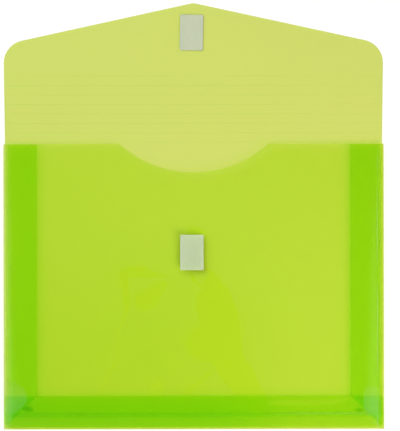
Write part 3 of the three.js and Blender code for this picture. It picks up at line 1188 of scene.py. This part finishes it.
def nylon_material(name, light, dark, opaque, roughness, tape=None):
    """Nylon that hides a share of what lies under it, and lets the rest show through. The border
    of a tape is greyer and hides more."""
    made, n = material(name)
    point, x, y, z = n.place()
    cloud = n.noise(point, 0.0022, 3.0)
    fine = n.noise(point, 0.0007, 2.0)
    colour = n.mix((cloud * 0.6 + fine * 0.4).step(0.36, 0.64), dark, light)
    if tape:
        low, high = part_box(tape)
        middle = (low + high) / 2
        across = abs(x - middle.x).step(TAPE_WIDTH / 2 - 1.6 * MM, TAPE_WIDTH / 2 - 1.2 * MM)
        along = abs(y - middle.y).step(high.y - middle.y - 1.0 * MM, high.y - middle.y - 0.6 * MM)
        border = n.maths("MAXIMUM", across, along)
        opaque = border * 0.3 + opaque
        colour = n.mix(border, colour, NYLON_BORDER)
    bump = n.make("ShaderNodeBump", None, {"Strength": 0.3, "Distance": 0.0001, "Height": fine})
    nylon = n.make(
        "ShaderNodeBsdfPrincipled",
        None,
        {"Base Color": colour, "Roughness": fine * 0.2 + roughness, "Normal": bump},
    )
    n.finish(n.shader_mix(opaque, clear_shader(n, (0.97, 1, 0.96, 1)), nylon))
    return made


NYLON_HOOK = nylon_material("hook_nylon", NYLON, NYLON_SHADED, 0.45, 0.35)
NYLON_LOOP = nylon_material("loop_nylon", (1, 1, 0.94, 1), (0.94, 1, 0.82, 1), 0.45, 0.6)
WOVEN_COLOURS = {
    "hook_tape": (NYLON_WOVEN, NYLON_WOVEN_SHADED),
    "loop_tape": ((1, 1, 0.95, 1), (0.95, 1, 0.86, 1)),
}
WOVEN = {
    tape: nylon_material(f"{tape}_woven", light, dark, 0.5, 0.5, tape=tape)
    for tape, (light, dark) in WOVEN_COLOURS.items()
}
GLUE = nylon_material("adhesive", (0.60, 0.70, 0.50, 1), (0.54, 0.64, 0.44, 1), 0.12, 0.4)

# %% Tape builder
WEB = 0.4 * MM
SELVEDGE = 1.3 * MM


def tape_place(node, lean):
    """The middle of a tape's underside, and its lean, as a matrix."""
    low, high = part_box(node)
    middle = (low + high) / 2
    return Matrix.Translation((middle.x, middle.y, low.z)) @ Matrix.Rotation(lean, 4, "Z")


def rounded_slab(work, width, length, radius, low, high, steps=5):
    """A flat slab with rounded corners and a slightly bevelled top edge."""
    bevel = 0.08 * MM
    levels = ((low, 0), (high - bevel, 0), (high, bevel))
    rings = []
    for up, inset in levels:
        ring = []
        for quarter, (sx, sy) in enumerate(((1, 1), (-1, 1), (-1, -1), (1, -1))):
            for i in range(steps + 1):
                angle = math.pi / 2 * (quarter + i / steps)
                ring.append(work.verts.new((
                    sx * (width / 2 - radius) + (radius - inset) * math.cos(angle),
                    sy * (length / 2 - radius) + (radius - inset) * math.sin(angle),
                    up,
                )))
        rings.append(ring)
    work.faces.new(rings[0])
    work.faces.new(rings[-1])
    for a, b in zip(rings, rings[1:]):
        for i in range(len(a)):
            j = (i + 1) % len(a)
            work.faces.new([a[i], a[j], b[j], b[i]])


def strand(work, points, radius, sides=4, flat=(0, 1, 0)):
    """A thin strand along points."""
    flat = Vector(flat)
    rings = []
    for i, point in enumerate(points):
        ahead = (points[min(len(points) - 1, i + 1)] - points[max(0, i - 1)]).normalized()
        other = ahead.cross(flat).normalized()
        level_side = other.cross(ahead).normalized()
        rings.append([
            work.verts.new(
                point
                + level_side * radius * math.cos(2 * math.pi * (k + 0.5) / sides)
                + other * radius * math.sin(2 * math.pi * (k + 0.5) / sides)
            )
            for k in range(sides)
        ])
    for a, b in zip(rings, rings[1:]):
        for k in range(sides):
            work.faces.new([a[k], a[(k + 1) % sides], b[(k + 1) % sides], b[k]])
    work.faces.new(rings[0])
    work.faces.new(rings[-1])


def web(name, node, lean, body, length):
    work = bmesh.new()
    rounded_slab(work, TAPE_WIDTH, length, 0.4 * MM, 0, WEB)
    piece = new_object(name, closed_mesh(name, work), WOVEN[node])
    piece.data.transform(tape_place(node, lean))
    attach(piece, body)
    return piece


# %% Hook tape
def hook_points(x, y, facing):
    """A stem that leans, then curls over to a blunt tip."""
    profile = [(0, -0.02), (0.02, 0.25), (0.06, 0.45), (0.18, 0.62), (0.36, 0.64), (0.48, 0.52), (0.50, 0.42)]
    return [Vector((x, y + facing * out * MM, WEB + up * MM)) for out, up in profile]


hook_web = web("hook_web", "hook_tape", 0.0, "front", 30.5 * MM)
work = bmesh.new()
hook_count = 0
columns, rows = 18, 27
for i in range(columns):
    for j in range(rows):
        x = (i - (columns - 1) / 2) * 0.96 * MM
        y = (j - (rows - 1) / 2) * 1.08 * MM
        strand(work, hook_points(x, y, 1 if i % 2 else -1), 0.15 * MM, flat=(1, 0, 0))
        hook_count += 1
hooks = new_object("hooks", closed_mesh("hooks", work), NYLON_HOOK)
hooks.data.transform(tape_place("hook_tape", 0.0))
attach(hooks, "front")
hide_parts("hook_tape")
print("hooks", hook_count)

# %% Loop tape
LEAN = math.radians(-1)
LOOP_LENGTH = 30.9 * MM
loop_web = web("loop_web", "loop_tape", LEAN, "flap", LOOP_LENGTH)
chance = random.Random(7)
work = bmesh.new()
loop_count = 0
half_width, half_length = TAPE_WIDTH / 2 - SELVEDGE, LOOP_LENGTH / 2 - 0.3 * MM
columns, rows = 22, 36
for i in range(columns):
    for j in range(rows):
        x = -half_width + 2 * half_width * (i + chance.uniform(0.1, 0.9)) / columns
        y = -half_length + 2 * half_length * (j + chance.uniform(0.1, 0.9)) / rows
        turn = chance.uniform(0, math.pi)
        tall = chance.uniform(0.35, 0.65) * MM
        wide = chance.uniform(0.28, 0.5) * MM
        lean = chance.uniform(-0.25, 0.25) * MM
        along = Vector((math.cos(turn), math.sin(turn), 0))
        side = Vector((-along.y, along.x, 0))
        points = []
        for k in range(8):
            angle = math.pi * (k / 7)
            points.append(
                Vector((x, y, WEB - 0.03 * MM))
                - along * wide * math.cos(angle)
                + side * lean * math.sin(angle)
                + Vector((0, 0, tall * math.sin(angle)))
            )
        strand(work, points, 0.07 * MM, sides=3, flat=tuple(side))
        loop_count += 1
loops = new_object("loops", closed_mesh("loops", work), NYLON_LOOP)
loops.data.transform(tape_place("loop_tape", LEAN))
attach(loops, "flap")
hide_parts("loop_tape")
print("loops", loop_count)

# %% Adhesive keeps its solids
for name in ("hook_adhesive", "loop_adhesive"):
    node = frame["nodes"][name]
    node.data.materials.clear()
    node.data.materials.append(GLUE)
